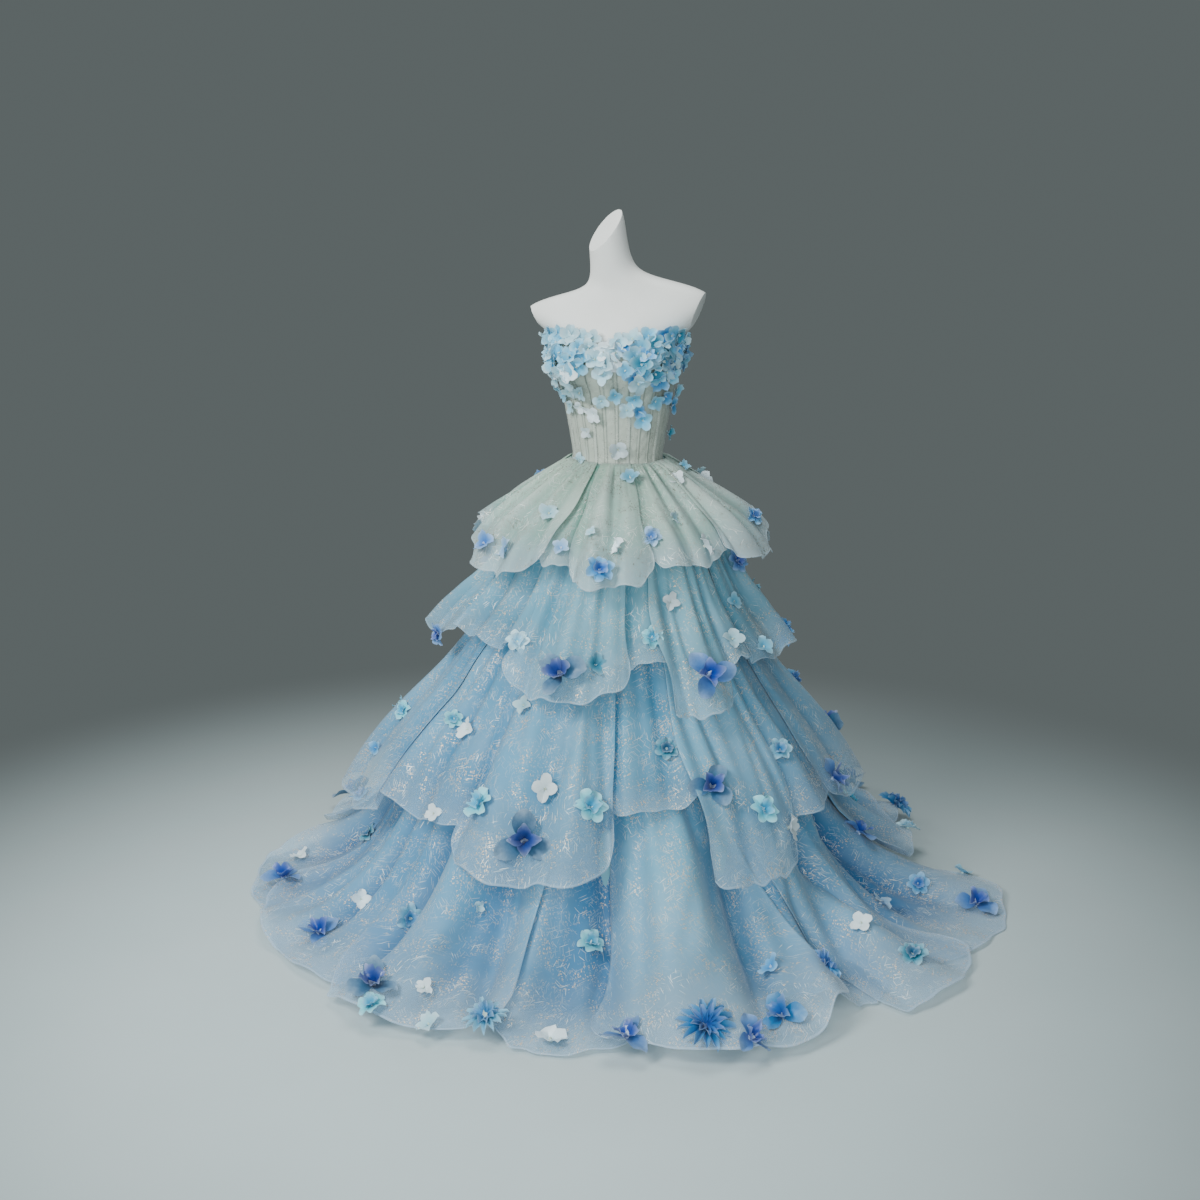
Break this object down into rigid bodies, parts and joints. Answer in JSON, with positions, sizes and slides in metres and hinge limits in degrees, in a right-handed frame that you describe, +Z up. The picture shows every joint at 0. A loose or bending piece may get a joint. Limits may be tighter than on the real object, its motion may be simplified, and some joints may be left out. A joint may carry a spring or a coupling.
{
  "type": "ball gown on a dress form",
  "caption": "Strapless ball gown with tiered petal skirt, boned bodice and sewn-on silk flowers, standing on a limbless dress form.",
  "frame": {"origin": "centre of the stand plate's underside, on the floor", "axes": "+Z up, the gown faces -Y, the gown's left side is +X"},
  "size_m": [1.8483, 1.9373, 1.6332],
  "materials": {
    "form_skin": "smooth matte white moulded shell",
    "stand_metal": "white satin powder coat",
    "bodice_tulle": "ivory-green glitter tulle over a boned lining",
    "boning_casing": "pale tape stitched over the boning seams",
    "underskirt_satin": "aqua satin with a soft sheen",
    "peplum_organza": "ivory-mint glitter organza",
    "middle_organza": "pale blue glitter organza",
    "lower_organza": "sky blue glitter organza",
    "floor_organza": "blue-lilac glitter organza, sheer at the hem",
    "flower_silk": "sky blue and white silk blossoms"
  },
  "bodies": {
    "root": {"bodice_back_left": "bodice_tulle", "bodice_back_placket": "bodice_tulle", "bodice_back_right": "bodice_tulle", "bodice_front_centre": "bodice_tulle", "bodice_front_left": "bodice_tulle", "bodice_front_right": "bodice_tulle", "bodice_side_left": "bodice_tulle", "bodice_side_right": "bodice_tulle", "boning_casing_1": "boning_casing", "boning_casing_2": "boning_casing", "boning_casing_3": "boning_casing", "boning_casing_4": "boning_casing", "bust_flower_border": "flower_silk", "floor_petal_back_left": "floor_organza", "floor_petal_back_right": "floor_organza", "floor_petal_far_right": "floor_organza", "floor_petal_front": "floor_organza", "floor_petal_front_left": "floor_organza", "floor_petal_front_right": "floor_organza", "floor_petal_left": "floor_organza", "floor_petal_rear_left": "floor_organza", "floor_petal_rear_right": "floor_organza", "floor_petal_right": "floor_organza", "floor_petal_right_inner": "floor_organza", "floor_petal_side_left": "floor_organza", "floor_petal_side_right": "floor_organza", "form_torso": "form_skin", "lower_petal_back": "lower_organza", "lower_petal_far_right": "lower_organza", "lower_petal_front": "lower_organza", "lower_petal_front_left": "lower_organza", "lower_petal_left": "lower_organza", "lower_petal_rear_left": "lower_organza", "lower_petal_rear_right": "lower_organza", "lower_petal_right": "lower_organza", "lower_petal_side_left": "lower_organza", "lower_petal_side_right": "lower_organza", "middle_petal_back": "middle_organza", "middle_petal_far_right": "middle_organza", "middle_petal_front": "middle_organza", "middle_petal_front_left": "middle_organza", "middle_petal_left": "middle_organza", "middle_petal_rear_left": "middle_organza", "middle_petal_rear_right": "middle_organza", "middle_petal_right": "middle_organza", "middle_petal_side_left": "middle_organza", "middle_petal_side_right": "middle_organza", "peplum_petal_back_left": "peplum_organza", "peplum_petal_back_right": "peplum_organza", "peplum_petal_front": "peplum_organza", "peplum_petal_left": "peplum_organza", "peplum_petal_left_inner": "peplum_organza", "peplum_petal_rear_left": "peplum_organza", "peplum_petal_rear_right": "peplum_organza", "peplum_petal_right": "peplum_organza", "peplum_petal_side_left": "peplum_organza", "peplum_petal_side_right": "peplum_organza", "stand_base": "stand_metal", "stand_pole": "stand_metal", "underskirt": "underskirt_satin"}
  },
  "joints": []
}
